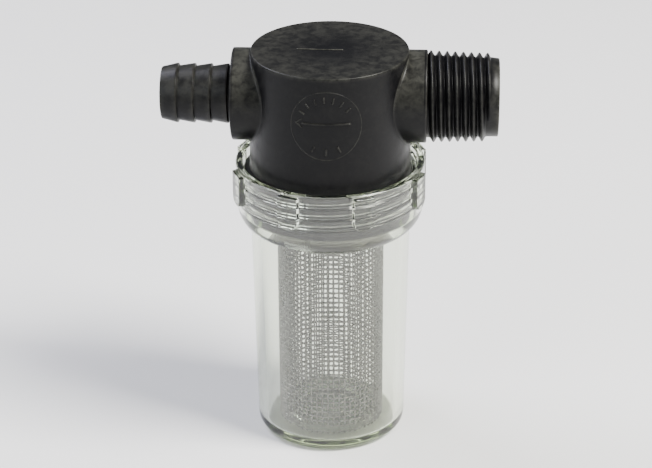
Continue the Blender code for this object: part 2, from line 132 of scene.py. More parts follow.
# Bowl, up from its foot
BOWL_RIM = BOWL_HIGH.z
BOWL_FLOOR = 2.2 * MM
BOWL_WALL = 2.2 * MM
FOOT_ROUND = 2.2 * MM
BOWL_BORE = 20.1 * MM
LEDGE = GASKET_LOW.z - FIT
BOWL_INNER_TOP = 16.25 * MM
BOWL_OUTER_TOP = 18.45 * MM
BOWL_OUTER_BOTTOM = 17.52 * MM
COLLAR_OUTER = 21.7 * MM
COLLAR_LOWER_EDGE = BOWL_RIM - 8.1 * MM
COLLAR_STEP = 0.12 * MM
SHOULDER_TOP = BOWL_RIM - 10.0 * MM
SHOULDER_HEIGHT = 5.3 * MM
SHOULDER_TUCK = 0.5 * MM
RIB_COUNT = 8
RIB_FACE = 22.8 * MM
RIB_HALF_WIDTH = 2.7 * MM
RIB_TOP = BOWL_RIM - 0.3 * MM
RIB_BOTTOM = COLLAR_LOWER_EDGE - 0.4 * MM
RIB_LOWER_CORNER = 2.2 * MM
RIB_UPPER_CORNER = 0.5 * MM
RIB_EDGE = 0.28 * MM
BOSS_INNER = 6.8 * MM
BOSS_OUTER = 10.8 * MM
BOSS_TOP = BOWL_FLOOR + 2.8 * MM
GASKET_INNER = 16.5 * MM
GASKET_COLUMNS = 144

# Screen
CLOTH_RADIUS = 12.07 * MM
CLOTH_THICKNESS = 0.74 * MM
LAP_RADIUS = 11.45 * MM
LAP_AZIMUTH = math.radians(-140.0)
LAP_WIDTH = 3.2 * MM
RING_RADIUS = RING_HIGH.x
RING_WALL = 0.35 * MM
RING_LIP = 0.75 * MM
RING_COLUMNS = 480
CRIMP_COUNT = 24
CRIMP_DEPTH = 0.16 * MM
CRIMP_HALF_WIDTH = 0.42 * MM
CRIMP_HALF_HEIGHT = 0.9 * MM
CRIMP_MIDDLE = 1.15 * MM
WIRE_SIDES = 6

# Camera, with its angles in degrees and its lens in millimetres
CAMERA_YAW = 3.035
CAMERA_PITCH = 26.5
CAMERA_ROLL = -0.312
CAMERA_LENS = 119.16
CAMERA_PLACE = (0.02282, -0.45039, 0.27375)


# Shapes


def ramp(value, start, end):
    """0 before start and 1 after end, with the smooth cubic 3s^2 - 2s^3 between them."""
    share = np.clip((value - start) / (end - start), 0.0, 1.0)
    return share * share * (3.0 - 2.0 * share)


def rounded(corners, steps=5):
    """A profile of (radius, height) points with each corner rounded off.

    A corner is (radius, height, size). Its arc is the circle of that size tangent to the
    two sides: it starts and ends at size / tan(half the corner's angle) from the corner,
    and turns at an even rate. A point just outside each end keeps the long sides flat.
    """
    profile = [corners[0][:2]]
    for before, here, after in zip(corners, corners[1:], corners[2:]):
        corner, size = Vector(here[:2]), here[2]
        back, on = Vector(before[:2]) - corner, Vector(after[:2]) - corner
        half = 0.5 * back.angle(on)
        if size == 0.0 or half > 1.55:
            profile.append(tuple(corner))
            continue
        reach = size / math.tan(half)
        center = corner + (back.normalized() + on.normalized()).normalized() * (
            size / math.sin(half)
        )
        start = corner + back.normalized() * reach - center
        end = corner + on.normalized() * reach - center
        sweep = math.pi - 2.0 * half
        support = reach + 0.3 * size
        if support < 0.45 * back.length:
            profile.append(tuple(corner + back.normalized() * support))
        profile += [
            tuple(
                center
                + (start * math.sin((1.0 - s) * sweep) + end * math.sin(s * sweep))
                / math.sin(sweep)
            )
            for s in np.linspace(0.0, 1.0, steps + 1)
        ]
        if support < 0.45 * on.length:
            profile.append(tuple(corner + on.normalized() * support))
    profile.append(corners[-1][:2])
    return np.array(profile)


def subdivided(profile, spacing):
    """The same profile with even steps added, so that none is longer than spacing."""
    step = np.diff(profile, axis=0)
    parts = np.maximum(1, np.ceil(np.linalg.norm(step, axis=1) / spacing)).astype(int)
    first = np.cumsum(parts) - parts
    share = (np.arange(parts.sum()) - np.repeat(first, parts)) / np.repeat(parts, parts)
    points = np.repeat(profile[:-1], parts, axis=0)
    points = points + share[:, None] * np.repeat(step, parts, axis=0)
    return np.vstack([points, profile[-1:]])


def full_turn(count):
    """count even angles round a circle, from zero."""
    return np.arange(count) * (2.0 * np.pi / count)


def turn_about_z(radius, height, angle):
    """Grid points (radius cos angle, radius sin angle, height)."""
    radius, height, angle = np.broadcast_arrays(radius, height, angle)
    return np.stack([radius * np.cos(angle), radius * np.sin(angle), height], axis=-1)


def turn_about_port(reach, radius, angle, side):
    """Grid points round the port axis. The angle starts straight down and turns
    right-handed about +X."""
    reach, radius, angle = np.broadcast_arrays(reach, radius, angle)
    return np.stack(
        [side * reach, radius * np.sin(angle), PORT_AXIS - radius * np.cos(angle)], axis=-1
    )


def ridge_share(along, angle, pitch, foot_width, crest_width, count, fade):
    """How far a right-hand helical ridge stands at each point: 0 at its foot, 1 on its crest.

    The ridge's middle line climbs one pitch each turn. A point's distance from it along
    the axis gives a straight flank between half the crest's width and half the foot's.
    The ridge rises out of its core over the first part of its count turns, and sinks
    back over the last.
    """
    turn = angle / (2.0 * np.pi)
    which = np.round(along / pitch - turn)
    distance = np.abs(along / pitch - turn - which) * pitch
    flank = (0.5 * foot_width - distance) / (0.5 * (foot_width - crest_width))
    progress = which + turn
    ends = ramp(progress, 0.0, fade) * ramp(count - progress, 0.0, fade)
    return ramp(flank, -0.08, 1.08) * ends


def screw_share(height, angle, start):
    """The ridge's share for the thread between head and bowl, from start up to its end."""
    return ridge_share(
        height - start,
        angle - THREAD_AZIMUTH,
        THREAD_PITCH,
        THREAD_FOOT_WIDTH,
        THREAD_CREST_WIDTH,
        (THREAD_END - start) / THREAD_PITCH,
        THREAD_FADE,
    )


# Meshes


def outward(vertices, faces):
    """The same faces, turned round if the volume that they enclose comes out negative."""
    volume = 0.0
    for group in faces:
        first = vertices[group[:, 0]]
        for i in range(1, group.shape[1] - 1):
            cross = np.cross(vertices[group[:, i]], vertices[group[:, i + 1]])
            volume += np.einsum("ij,ij->", first, cross)
    return [group[:, ::-1] for group in faces] if volume < 0.0 else faces


def add_piece(name, body, slot, node, material, vertices, faces, wear_and_light=None):
    """A smooth mesh object at the origin that rides on a body and stands for a frame node."""
    old = bpy.data.objects.get(name)
    if old:
        bpy.data.objects.remove(old, do_unlink=True)
    mesh = bpy.data.meshes.new(name)
    corners = [row for group in outward(vertices, faces) for row in group.tolist()]
    mesh.from_pydata(vertices.tolist(), [], corners)
    mesh.shade_smooth()
    # The attribute holds rubbed wear and also painted light (paler head top, paler collar
    # upper sides).
    if wear_and_light is not None:
        wear_and_light_field = mesh.attributes.new("wear_and_light", "FLOAT", "POINT")
        wear_and_light_field.data.foreach_set("value", np.ascontiguousarray(wear_and_light, dtype=np.float32))
    mesh.materials.append(material)
    piece = bpy.data.objects.new(name, mesh)
    bpy.context.scene.collection.objects.link(piece)
    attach(piece, body)
    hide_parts(node)
    return piece


def numbered(rows, columns):
    """The vertex numbers of a grid, row by row."""
    return np.arange(rows * columns).reshape(rows, columns)


def open_quads(index):
    """Quads between each row and the next, with the columns joined up."""
    beside = np.roll(index, -1, axis=1)
    return np.stack([index[:-1], index[1:], beside[1:], beside[:-1]], axis=-1).reshape(-1, 4)


def closed_quads(index):
    """The same, with the last row joined to the first too."""
    return open_quads(np.vstack([index, index[:1]]))


def ring_grid(points, wear_and_light=None):
    """Vertices, faces and the rubbed wear and painted light values of a grid whose rows and
    columns both join up, as on a tube.
    """
    rows, columns = points.shape[:2]
    wear_and_light_field = None if wear_and_light is None else np.broadcast_to(wear_and_light, (rows, columns)).ravel()
    return points.reshape(-1, 3), [closed_quads(numbered(rows, columns))], wear_and_light_field


def pole_grid(points, wear_and_light=None):
    """The same for a grid whose columns join up and whose first and last rows are poles."""
    rows, columns = points.shape[:2]
    index = numbered(rows - 2, columns)
    beside = np.roll(index, -1, axis=1)
    top = np.full(columns, index.size)
    fans = np.vstack(
        [
            np.stack([top, index[0], beside[0]], axis=-1),
            np.stack([index[-1], top + 1, beside[-1]], axis=-1),
        ]
    )
    vertices = np.vstack([points[1:-1].reshape(-1, 3), points[0, :1], points[-1, :1]])
    wear_and_light_field = None
    if wear_and_light is not None:
        wear_and_light = np.broadcast_to(wear_and_light, (rows, columns))
        wear_and_light_field = np.concatenate([wear_and_light[1:-1].ravel(), wear_and_light[0, :1], wear_and_light[-1, :1]])
    return vertices, [open_quads(index), fans], wear_and_light_field


def tube_grid(center, across, radius, sides):
    """Vertices and faces of round wires, each closed by a flat face at both ends.

    center holds a row of points for each wire, and across a unit direction at each point.
    A point of the wire is its centre plus the radius times cos a along across and sin a
    along the direction square to both across and the wire.
    """
    wires, steps = center.shape[:2]
    along = np.gradient(center, axis=1)
    along /= np.linalg.norm(along, axis=-1, keepdims=True)
    across = across - along * np.sum(across * along, axis=-1, keepdims=True)
    across /= np.linalg.norm(across, axis=-1, keepdims=True)
    square = np.cross(along, across)
    angle = full_turn(sides)[:, None]
    points = center[:, :, None] + radius * (
        np.cos(angle) * across[:, :, None] + np.sin(angle) * square[:, :, None]
    )
    index = np.arange(wires * steps * sides).reshape(wires, steps, sides)
    beside = np.roll(index, -1, axis=2)
    quads = np.stack(
        [index[:, :-1], beside[:, :-1], beside[:, 1:], index[:, 1:]], axis=-1
    )
    caps = np.vstack([index[:, 0, ::-1], index[:, -1]])
    return points.reshape(-1, 3), [quads.reshape(-1, 4), caps]


# Finishes


def start_material(name):
    """A new material, its node tree and its shader, with the piece's own coordinates."""
    old = bpy.data.materials.get(name)
    if old:
        bpy.data.materials.remove(old)
    material = bpy.data.materials.new(name)
    material.use_nodes = True
    tree = material.node_tree
    coordinates = tree.nodes.new("ShaderNodeTexCoord").outputs["Object"]
    return material, tree, tree.nodes["Principled BSDF"], coordinates


def noise(tree, coordinates, scale, detail=3.0, roughness=0.55, distortion=0.0):
    node = tree.nodes.new("ShaderNodeTexNoise")
    node.inputs["Scale"].default_value = scale
    node.inputs["Detail"].default_value = detail
    node.inputs["Roughness"].default_value = roughness
    node.inputs["Distortion"].default_value = distortion
    tree.links.new(coordinates, node.inputs["Vector"])
    return node.outputs["Fac"]


def stretched(tree, coordinates, scale):
    node = tree.nodes.new("ShaderNodeMapping")
    node.inputs["Scale"].default_value = scale
    tree.links.new(coordinates, node.inputs["Vector"])
    return node.outputs["Vector"]


def spread(tree, value, low, high, to_low, to_high):
    """value's span low to high laid onto to_low to to_high."""
    node = tree.nodes.new("ShaderNodeMapRange")
    for socket, number in zip(list(node.inputs)[1:5], (low, high, to_low, to_high)):
        socket.default_value = number
    tree.links.new(value, node.inputs["Value"])
    return node.outputs["Result"]


def combined(tree, operation, first, second):
    node = tree.nodes.new("ShaderNodeMath")
    node.operation = operation
    for socket, value in zip(node.inputs, (first, second)):
        if isinstance(value, float):
            socket.default_value = value
        else:
            tree.links.new(value, socket)
    return node.outputs["Value"]


def blended(tree, share, first, second):
    """A colour between first and second, by share."""
    node = tree.nodes.new("ShaderNodeMix")
    node.data_type = "RGBA"
    tree.links.new(share, node.inputs[0])
    for socket, color in ((node.inputs[6], first), (node.inputs[7], second)):
        if isinstance(color, bpy.types.NodeSocket):
            tree.links.new(color, socket)
        else:
            socket.default_value = (*color, 1.0)
    return node.outputs[2]


def bumps(tree, shader, layers):
    """Bump nodes in a chain, one for each (height, distance in metres, strength)."""
    normal = None
    for height, distance, strength in layers:
        node = tree.nodes.new("ShaderNodeBump")
        node.inputs["Distance"].default_value = distance
        node.inputs["Strength"].default_value = strength
        tree.links.new(height, node.inputs["Height"])
        if normal:
            tree.links.new(normal, node.inputs["Normal"])
        normal = node.outputs["Normal"]
    tree.links.new(normal, shader.inputs["Normal"])


def satin_black_plastic(settings):
    """Moulded plastic: mottled with dust, cloudy gloss, a fine grain, pale rubbed edges, and
    painted light: the attribute that marks rubbed edges also makes the head's top and the
    collars' upper sides paler.
    """
    material, tree, shader, place = start_material("satin_black_plastic")
    wear_and_light_field = tree.nodes.new("ShaderNodeAttribute")
    wear_and_light_field.attribute_name = "wear_and_light"
    clouds = noise(tree, place, 120.0, 5.0, 0.62)
    mottle = noise(tree, place, 480.0, 4.0, 0.65, 0.4)
    grain = noise(tree, place, 2600.0, 2.0, 0.5)
    base = tuple(settings.plastic_color)
    dusty = tuple(settings.dust_color)
    body = blended(tree, spread(tree, mottle, 0.45, 0.72, 0.0, 1.0), base, dusty)
    # Rubbed wear and painted light share one attribute; both blend the colour towards the pale
    # tone.
    rubbed_and_lit = combined(
        tree, "MULTIPLY", wear_and_light_field.outputs["Fac"], spread(tree, mottle, 0.35, 0.60, 0.25, 1.0)
    )
    pale = tuple(c + more for c, more in zip(base, (0.042, 0.042, 0.034)))
    tree.links.new(blended(tree, rubbed_and_lit, body, pale), shader.inputs["Base Color"])
    gloss = combined(
        tree,
        "ADD",
        spread(tree, clouds, 0.3, 0.7, 0.30, 0.42),
        spread(tree, mottle, 0.45, 0.75, 0.0, 0.12),
    )
    tree.links.new(gloss, shader.inputs["Roughness"])
    shader.inputs["IOR"].default_value = 1.33
    shader.inputs["Specular IOR Level"].default_value = 0.28
    bumps(tree, shader, [(mottle, 0.00006, 0.25), (grain, 0.00003, 0.25)])
    return material


def clear_plastic(settings):
    """Clear moulded plastic, faintly yellow-green through its thickness, with light scuffs."""
    material, tree, shader, place = start_material("clear_plastic")
    flow = noise(tree, stretched(tree, place, (1.0, 1.0, 0.35)), 55.0, 2.0, 0.4)
    scuffs = noise(tree, stretched(tree, place, (6.0, 6.0, 1.0)), 160.0, 5.0, 0.7, 0.8)
    shader.inputs["Base Color"].default_value = (*settings.clear_color, 1.0)
    shader.inputs["Transmission Weight"].default_value = 1.0
    shader.inputs["IOR"].default_value = 1.57
    tree.links.new(spread(tree, scuffs, 0.50, 0.75, 0.01, 0.05), shader.inputs["Roughness"])
    bumps(tree, shader, [(flow, 0.00025, 0.06)])
    absorb = tree.nodes.new("ShaderNodeVolumeAbsorption")
    absorb.inputs["Color"].default_value = (*settings.tint, 1.0)
    absorb.inputs["Density"].default_value = settings.tint_density
    output = tree.nodes["Material Output"]
    tree.links.new(absorb.outputs["Volume"], output.inputs["Volume"])
    return material


def drawn_steel(settings):
    """Drawn stainless wire and strip: bright, with fine drag marks and dull patches."""
    material, tree, shader, place = start_material("drawn_steel")
    patches = noise(tree, place, 330.0, 3.0)
    marks = noise(tree, stretched(tree, place, (1.0, 1.0, 14.0)), 900.0, 2.0)
    bright = tuple(settings.steel_color)
    dull = tuple(0.72 * c for c in bright)
    share = spread(tree, patches, 0.35, 0.65, 0.0, 1.0)
    tree.links.new(blended(tree, share, bright, dull), shader.inputs["Base Color"])
    shader.inputs["Metallic"].default_value = 1.0
    tree.links.new(spread(tree, patches, 0.3, 0.7, 0.16, 0.30), shader.inputs["Roughness"])
    bumps(tree, shader, [(marks, 0.00002, 0.35)])
    return material


def black_rubber(settings):
    """Matt moulded rubber with a faint bloom."""
    material, tree, shader, place = start_material("black_rubber")
    bloom = noise(tree, place, 260.0, 4.0)
    grain = noise(tree, place, 3000.0, 2.0)
    base = tuple(settings.rubber_color)
    pale = tuple(c + 0.005 for c in base)
    share = spread(tree, bloom, 0.4, 0.7, 0.0, 1.0)
    tree.links.new(blended(tree, share, base, pale), shader.inputs["Base Color"])
    tree.links.new(spread(tree, bloom, 0.3, 0.7, 0.55, 0.72), shader.inputs["Roughness"])
    shader.inputs["Specular IOR Level"].default_value = 0.12
    bumps(tree, shader, [(grain, 0.00003, 0.4)])
    return material


def pale_floor(settings):
    material, tree, shader, place = start_material("pale_floor")
    clouds = noise(tree, place, 9.0, 3.0)
    base = tuple(settings.floor_color)
    shade = tuple(0.985 * c for c in base)
    tree.links.new(blended(tree, clouds, base, shade), shader.inputs["Base Color"])
    shader.inputs["Roughness"].default_value = 0.75
    return material


# Settings


def color_value(name, description, default):
    return bpy.props.FloatVectorProperty(
        name=name,
        description=description,
        subtype="COLOR",
        size=3,
        min=0.0,
        max=1.0,
        default=default,
    )


def length_value(name, description, low, high, default):
    return bpy.props.FloatProperty(
        name=name, description=description, unit="LENGTH", min=low, max=high, default=default
    )


def power_value(name, description, default):
    return bpy.props.FloatProperty(
        name=name, description=description, subtype="POWER", min=0.0, default=default
    )


class StrainerHeadSettings(bpy.types.PropertyGroup):
    plastic_color: color_value(
        "Plastic colour", "Colour of the black moulded head", (0.0018, 0.0018, 0.0023)
    )
    dust_color: color_value(
        "Dust colour",
        "Colour of the paler patches that mottle the plastic",
        (0.0052, 0.0051, 0.0052),
    )
    port_fillet: length_value(
        "Port fillet",
        "Radius of the fillet where a port's collar meets the head",
        0.0003, 0.0015, 0.0008,
    )
    sink_depth: length_value(
        "Sink depth",
        "Depth of the shallow sink in the middle of the head's top",
        0.0, 0.001, 0.00028,
    )
    mark_height: length_value(
        "Mark height",
        "How far the flow arrow stands proud of the head",
        0.0001, 0.0006, 0.00032,
    )
    mark_radius: length_value(
        "Mark radius",
        "Radius of the thin raised circle round the flow arrow",
        0.004, 0.009, 0.008,
    )


class StrainerBowlSettings(bpy.types.PropertyGroup):
    clear_color: color_value(
        "Clear colour", "Colour of the clear plastic at its surface", (0.95, 0.96, 0.935)
    )
    tint: color_value(
        "Tint", "Colour that the plastic takes through its thickness", (0.74, 0.86, 0.50)
    )
    tint_density: bpy.props.FloatProperty(
        name="Tint density",
        description="How fast the tint grows with thickness, for each metre",
        min=0.0,
        max=200.0,
        default=60.0,
    )
    rubber_color: color_value(
        "Rubber colour", "Colour of the sealing ring", (0.004, 0.004, 0.0045)
    )


class StrainerScreenSettings(bpy.types.PropertyGroup):
    steel_color: color_value(
        "Steel colour", "Colour of the stainless wire and strip", (0.20, 0.193, 0.186)
    )
    wire_diameter: length_value(
        "Wire diameter", "Diameter of the woven wires", 0.00025, 0.00042, 0.00042
    )
    upright_wires: bpy.props.IntProperty(
        name="Upright wires",
        description="Upright wires round the screen, an even number",
        min=40,
        max=72,
        step=2,
        default=60,
    )
    level_wires: bpy.props.IntProperty(
        name="Level wires",
        description="Level wires up the height of the screen",
        min=30,
        max=52,
        default=44,
    )


class StrainerStageSettings(bpy.types.PropertyGroup):
    floor_color: color_value(
        "Floor colour", "Colour of the plain floor", (0.78, 0.78, 0.77)
    )
    key_power: power_value(
        "Key light", "Power of the large soft light on the right", 26.0
    )
    fill_power: power_value(
        "Fill light", "Power of the soft light at the front left", 5.0
    )
    back_power: power_value(
        "Back light", "Power of the soft light behind and above", 10.0
    )


# Head pieces


def head_radius(height):
    """The head's outside radius: a straight taper from top to skirt, with a round top edge."""
    span = HEAD_TOP - BOWL_RIM
    radius = HEAD_TOP_RADIUS + (SKIRT_RADIUS - HEAD_TOP_RADIUS) * (HEAD_TOP - height) / span
    into_edge = np.clip(height - (HEAD_TOP - HEAD_EDGE), 0.0, HEAD_EDGE)
    return radius - (HEAD_EDGE - np.sqrt(HEAD_EDGE**2 - into_edge**2))


def near(value, place, width):
    """A bell curve that is 1 at place and falls to 1/e at width away from it."""
    return np.exp(-(((value - place) / width) ** 2))


def top_sink(radius, depth):
    """How far the head's top is sunk at a radius: the depth times a bell curve."""
    return depth * near(radius, 0.0, SINK_WIDTH)


def build_head_shell(settings, material):
    """The head's cup, turned about Z, with its thread, spigot, sink and port recesses.

    Each row of the profile is carried round. The thread adds its ridge's share of height
    to the radius. The sink lowers the top by a bell curve of the radius. Behind a port,
    where the distance from the port's axis is small, the wall steps inwards along X.
    """
    outside = rounded(
        [
            (0.0, HEAD_TOP, 0.0),
            (HEAD_TOP_RADIUS, HEAD_TOP, HEAD_EDGE),
            (SKIRT_RADIUS, BOWL_RIM - HEAD_EDGE, 0.0),
            (THREAD_CORE, BOWL_RIM - 2.0 * HEAD_EDGE, 0.0),
            (THREAD_CORE, HEAD_LOWER_END, 0.4 * MM),
            (THREAD_CORE - SKIRT_WALL, HEAD_LOWER_END, 0.2 * MM),
            (THREAD_CORE - SKIRT_WALL, CHAMBER_CEILING, 0.6 * MM),
            (SPIGOT_RADIUS + SCREEN_STOP_WIDTH, CHAMBER_CEILING, 0.6 * MM),
            (SPIGOT_RADIUS + SCREEN_STOP_WIDTH, SCREEN_STOP, 0.2 * MM),
            (SPIGOT_RADIUS, SCREEN_STOP, 0.3 * MM),
            (SPIGOT_RADIUS, SPIGOT_END, 0.5 * MM),
            (OUTLET_WELL_RADIUS, SPIGOT_END, 0.3 * MM),
            (OUTLET_WELL_RADIUS, OUTLET_WELL_TOP, 0.6 * MM),
            (0.0, OUTLET_WELL_TOP, 0.0),
        ]
    )
    outer_rows = int(np.argmax(outside[:, 1] <= HEAD_LOWER_END + 0.4 * MM))
    thread_row = int(np.argmax(outside[:, 1] < BOWL_RIM))
    profile = np.vstack(
        [
            subdivided(outside[: thread_row + 1], 0.55 * MM),
            subdivided(outside[thread_row : outer_rows + 1], 0.16 * MM)[1:],
            subdivided(outside[outer_rows:], 3.0 * MM)[1:],
        ]
    )
    radius, height = profile[:, :1], profile[:, 1:]
    angle = full_turn(HEAD_COLUMNS)[None, :]
    on_core = (radius > THREAD_CORE - 0.1 * MM) & (height > HEAD_LOWER_END)
    thread = on_core * screw_share(height, angle, HEAD_THREAD_START)
    on_top = height > HEAD_TOP - 0.01 * MM
    sink = on_top * top_sink(radius, settings.sink_depth)
    points = turn_about_z(radius + THREAD_HEIGHT * thread, height - sink, angle)
    x, y, z = points[..., 0], points[..., 1], points[..., 2]
    from_port = np.hypot(y, z - PORT_AXIS)
    on_wall = (radius > HEAD_TOP_RADIUS - HEAD_EDGE) & (height > BOWL_RIM)
    inwards = on_wall * (1.0 - ramp(from_port, RECESS_INNER, RECESS_OUTER))
    floor = np.where(x > 0.0, INLET_RECESS_FLOOR, OUTLET_RECESS_FLOOR)
    points[..., 0] = x + (floor - x) * inwards
    edge = np.hypot(radius - HEAD_TOP_RADIUS, height - HEAD_TOP)
    wear_and_light = np.maximum(0.45 * near(edge, 0.15 * MM, 0.4 * MM), 0.1 * thread**6)
    # Painted reflection: the top is made paler out towards its rim, in place of the sky's
    # reflection on it.
    wear_and_light = np.maximum(wear_and_light, on_top * 0.3 * ramp(radius, 2.0 * MM, 15.0 * MM))
    add_piece(
        "head_shell",
        "head_body",
        "black_plastic",
        "head",
        material,
        *pole_grid(points, wear_and_light),
    )


def port_foot(angle, side, fillet):
    """The part of a port's collar that meets the head: its buried root and the fillet.

    A ball of the fillet's radius rolls in the corner between collar and head. Its centre
    is that radius outside both. The fillet turns at an even rate from the ball's touch on
    the head to its touch on the collar. The radius shrinks towards the top, where the
    collar runs close under the head's edge.
    """
    up = -np.cos(angle)
    ball = fillet * (1.0 - 0.8 * ramp(up, 0.72, 1.0))
    reach_out = COLLAR_RADIUS + ball
    y, z = reach_out * np.sin(angle), PORT_AXIS + reach_out * up
    head = head_radius(np.minimum(z, HEAD_TOP - 0.1 * MM))
    x = np.sqrt((head + ball) ** 2 - y**2)
    center = np.stack([x, y, z], axis=-1)
    to_head = -np.stack([x, y, 0.0 * x], axis=-1) / (head + ball)[:, None]
    to_collar = -np.stack([0.0 * x, np.sin(angle), up], axis=-1)
    sweep = np.arccos(np.clip(np.sum(to_head * to_collar, axis=-1), -1.0, 1.0))
    share = np.linspace(0.0, 1.0, 9)[:, None]
    turn = (
        np.sin((1.0 - share) * sweep)[..., None] * to_head
        + np.sin(share * sweep)[..., None] * to_collar
    ) / np.sin(sweep)[None, :, None]
    arc = center + ball[:, None] * turn
    buried = arc[0] + 0.6 * MM * to_head
    root = turn_about_port(PORT_ROOT, 0.95 * COLLAR_RADIUS, angle, 1.0)
    foot = np.concatenate([root[None], buried[None], arc])
    return foot * np.array([side, 1.0, 1.0])


def port_top_light(rows, columns):
    """Painted light for the rows of a port's collar: the upper side is made paler, by a smooth
    ramp, as if lit from above.
    """
    return np.tile(0.6 * ramp(-np.cos(full_turn(columns)), -0.35, 0.75), (rows, 1))


def port_points(profile, ridge, side, settings):
    """A port from its root in the head, along its collar and outside, and back down its bore.

    profile holds (reach, radius) points from the collar's outer edge to the bore's inner
    end, and ridge is added to the radius.
    """
    angle = full_turn(ridge.shape[1])
    foot = port_foot(angle, side, settings.port_fillet)
    collar_end = COLLAR_REACH - 1.4 * COLLAR_EDGE
    share = np.linspace(0.0, 1.0, 9)[1:, None]
    start = np.abs(foot[-1, :, 0])
    collar = turn_about_port(
        start + (collar_end - start) * share, COLLAR_RADIUS, angle, side
    )
    rest = turn_about_port(profile[:, :1], profile[:, 1:] + ridge, angle[None, :], side)
    return np.concatenate([foot, collar, rest])


def build_inlet_pipe(settings, material):
    """The threaded inlet on the right. The pipe thread's ridge, on a core that tapers
    1 in 32, adds its share of height to the radius; it is right-handed about +X."""
    core_at_collar = PIPE_END_CORE + (PIPE_THREAD_END - COLLAR_REACH) * PIPE_TAPER
    outside = rounded(
        [
            (COLLAR_REACH - 1.3 * COLLAR_EDGE, COLLAR_RADIUS, 0.0),
            (COLLAR_REACH, COLLAR_RADIUS, 0.35 * MM),
            (COLLAR_REACH, core_at_collar, 0.1 * MM),
            (PIPE_THREAD_END, PIPE_END_CORE, 0.0),
            (PORT_REACH, PIPE_END_CORE, 0.35 * MM),
            (PORT_REACH, INLET_BORE, 0.3 * MM),
            (PORT_ROOT, INLET_BORE, 0.0),
        ],
        4,
    )
    on_thread = int(np.argmax((outside[:, 0] > COLLAR_REACH) & (outside[:, 1] < 10.0 * MM)))
    after = int(np.argmax(outside[:, 0] >= PIPE_THREAD_END - 0.001 * MM))
    profile = np.vstack(
        [
            outside[:on_thread],
            subdivided(outside[on_thread : after + 1], 0.13 * MM),
            subdivided(outside[after + 1 :], 3.0 * MM),
        ]
    )
    angle = full_turn(INLET_COLUMNS)[None, :]
    count = (PIPE_THREAD_END - PIPE_THREAD_START) / PIPE_PITCH
    on_core = (profile[:, :1] > COLLAR_REACH) & (profile[:, 1:] > PIPE_END_CORE - 0.01 * MM)
    ridge = on_core * ridge_share(
        profile[:, :1] - PIPE_THREAD_START,
        angle,
        PIPE_PITCH,
        PIPE_THREAD_FOOT_WIDTH,
        PIPE_THREAD_CREST_WIDTH,
        count,
        PIPE_THREAD_FADE,
    )
    points = port_points(profile, PIPE_THREAD_HEIGHT * ridge, 1.0, settings)
    # Painted light: the collar's upper side is paler, as if lit from above; the profile rows
    # below get rubbed wear instead.
    wear_and_light = port_top_light(*points.shape[:2])
    lead = len(points) - len(profile)
    reach, radius = profile[:, 0], profile[:, 1]
    end_edge = near(np.hypot(reach - PORT_REACH, radius - PIPE_END_CORE), 0.0, 0.5 * MM)
    collar_edge = near(
        np.hypot(reach - COLLAR_REACH, radius - COLLAR_RADIUS), 0.0, 0.35 * MM
    )
    wear_and_light[lead:] = np.maximum(0.3 * ridge**5, np.maximum(end_edge, 0.5 * collar_edge)[:, None])
    add_piece(
        "inlet_pipe",
        "head_body",
        "black_plastic",
        "head",
        material,
        *ring_grid(points, wear_and_light),
    )


def build_outlet_barb(settings, material):
    """The hose barb on the left: saw teeth that climb slowly from the tip and drop at once."""
    corners = [
        (COLLAR_REACH - 1.3 * COLLAR_EDGE, COLLAR_RADIUS, 0.0),
        (COLLAR_REACH, COLLAR_RADIUS, 0.35 * MM),
        (COLLAR_REACH, BARB_ROOT, 0.25 * MM),
    ]
    for i in range(BARB_COUNT):
        crest = BARB_FIRST + i * BARB_SPACING
        corners += [
            (crest - BARB_DROP, BARB_ROOT, 0.1 * MM),
            (crest - BARB_LAND, BARB_CREST, 0.08 * MM),
            (crest + BARB_LAND, BARB_CREST, 0.12 * MM),
        ]
    corners += [
        (PORT_REACH, BARB_TIP, 0.3 * MM),
        (PORT_REACH, OUTLET_BORE, 0.3 * MM),
        (PORT_ROOT, OUTLET_BORE, 0.0),
    ]
    profile = subdivided(rounded(corners, 4), 1.5 * MM)
    flat = np.zeros((len(profile), OUTLET_COLUMNS))
    points = port_points(profile, flat, -1.0, settings)
    # Painted light: the collar's upper side is paler, as if lit from above.
    wear_and_light = port_top_light(*points.shape[:2])
    lead = len(points) - len(profile)
    reach, radius = profile[:, 0], profile[:, 1]
    from_crest = (reach - BARB_FIRST + 0.5 * BARB_SPACING) % BARB_SPACING
    crest = near(from_crest, 0.5 * BARB_SPACING, 0.3 * MM)
    edges = np.maximum(
        crest * (radius > BARB_CREST - 0.1 * MM),
        near(np.hypot(reach - PORT_REACH, radius - BARB_TIP), 0.0, 0.45 * MM),
    )
    # The barb's own rows keep half the painted top light, with rubbed wear on its crests and
    # tip.
    wear_and_light[lead:] = np.maximum(0.5 * wear_and_light[lead:], 0.4 * edges[:, None])
    add_piece(
        "outlet_barb",
        "head_body",
        "black_plastic",
        "head",
        material,
        *ring_grid(points, wear_and_light),
    )


def on_head_front(across, up, lift):
    """The point on the head's front that far across and up from the port axis, and lifted."""
    height = PORT_AXIS + up
    radius = head_radius(height)
    angle = -0.5 * np.pi + across / radius
    return turn_about_z(radius + lift, height, angle)


